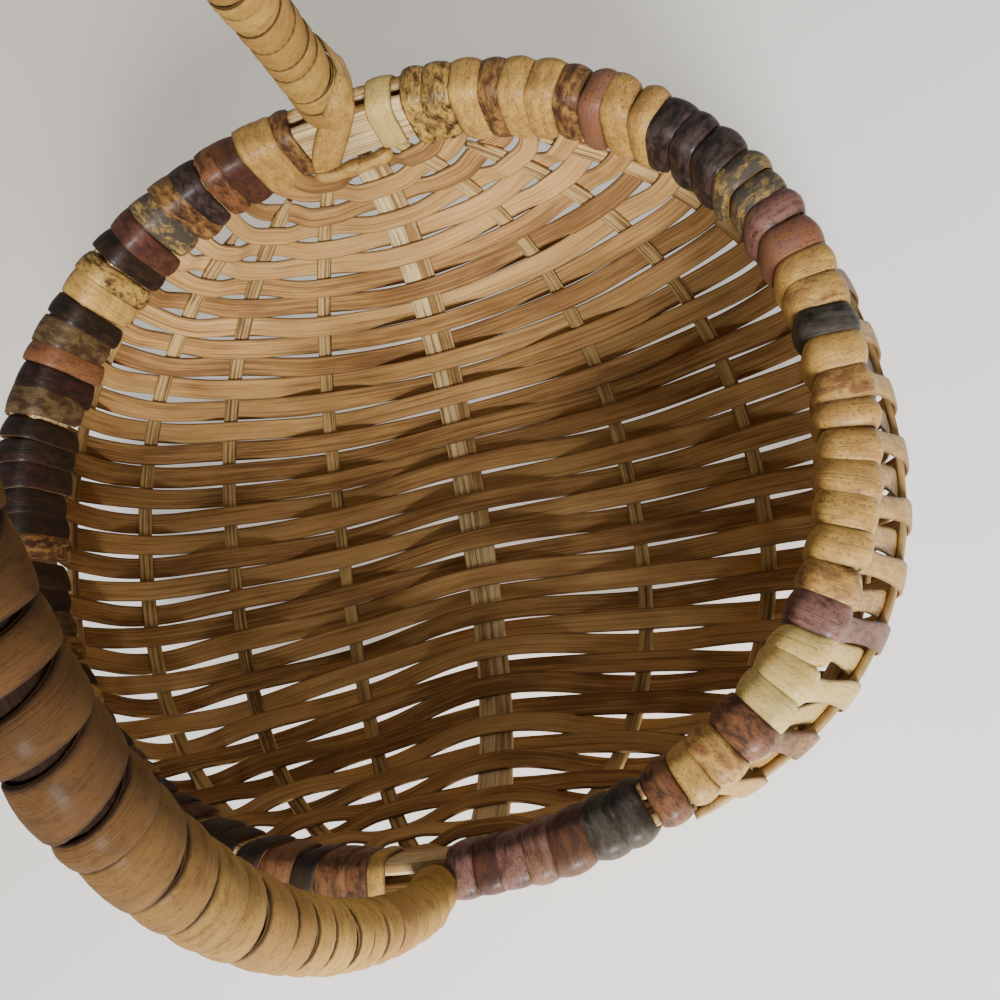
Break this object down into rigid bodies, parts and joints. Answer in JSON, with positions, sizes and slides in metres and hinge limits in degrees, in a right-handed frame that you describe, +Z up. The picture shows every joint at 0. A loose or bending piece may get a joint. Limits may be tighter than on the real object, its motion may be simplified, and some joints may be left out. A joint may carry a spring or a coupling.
{
  "type": "buttocks basket",
  "caption": "Double-lobed ribbed splint basket with an oval hooped rim bound by the turned weaver ends and a fixed cane-wrapped bow handle.",
  "frame": {"origin": "middle of the footprint, on the surface that the two lobes stand on", "axes": "+Z up, +X across the two lobes, +Y from the front handle foot to the back one, so the handle bow lies in the YZ plane"},
  "size_m": [0.2736, 0.2245, 0.2548],
  "materials": {
    "weaver_splint": "split bamboo, fibrous, matt",
    "rib_splint": "split bamboo, grooved lengthwise, matt",
    "rim_hoop": "split bamboo, fibrous, matt",
    "handle_rod": "bent bamboo rod, matt",
    "handle_cane": "flat cane with its glossy skin outward",
    "lashing_cane": "flat cane with its glossy skin outward"
  },
  "bodies": {
    "root": {"rim_inner_hoop": "rim_hoop", "rim_outer_hoop": "rim_hoop", "centre_rib": "rib_splint", "left_rib_1": "rib_splint", "right_rib_1": "rib_splint", "left_rib_2": "rib_splint", "right_rib_2": "rib_splint", "left_rib_3": "rib_splint", "right_rib_3": "rib_splint", "left_rib_4": "rib_splint", "right_rib_4": "rib_splint", "weaver_01": "weaver_splint", "weaver_02": "weaver_splint", "weaver_03": "weaver_splint", "weaver_04": "weaver_splint", "weaver_05": "weaver_splint", "weaver_06": "weaver_splint", "weaver_07": "weaver_splint", "weaver_08": "weaver_splint", "weaver_09": "weaver_splint", "weaver_10": "weaver_splint", "weaver_11": "weaver_splint", "weaver_12": "weaver_splint", "weaver_13": "weaver_splint", "weaver_14": "weaver_splint", "weaver_15": "weaver_splint", "weaver_16": "weaver_splint", "weaver_17": "weaver_splint", "weaver_18": "weaver_splint", "weaver_19": "weaver_splint", "weaver_20": "weaver_splint", "weaver_21": "weaver_splint", "weaver_22": "weaver_splint", "weaver_23": "weaver_splint", "weaver_24": "weaver_splint", "weaver_25": "weaver_splint", "weaver_26": "weaver_splint", "weaver_27": "weaver_splint", "weaver_28": "weaver_splint", "weaver_29": "weaver_splint", "weaver_30": "weaver_splint", "weaver_31": "weaver_splint", "weaver_32": "weaver_splint", "weaver_33": "weaver_splint", "weaver_34": "weaver_splint", "weaver_35": "weaver_splint", "weaver_36": "weaver_splint", "weaver_37": "weaver_splint", "weaver_38": "weaver_splint", "weaver_39": "weaver_splint", "weaver_40": "weaver_splint", "handle_core": "handle_rod", "handle_cane_back": "handle_cane", "handle_cane_front": "handle_cane", "foot_lashing_back": "lashing_cane", "foot_lashing_front": "lashing_cane"}
  },
  "joints": []
}
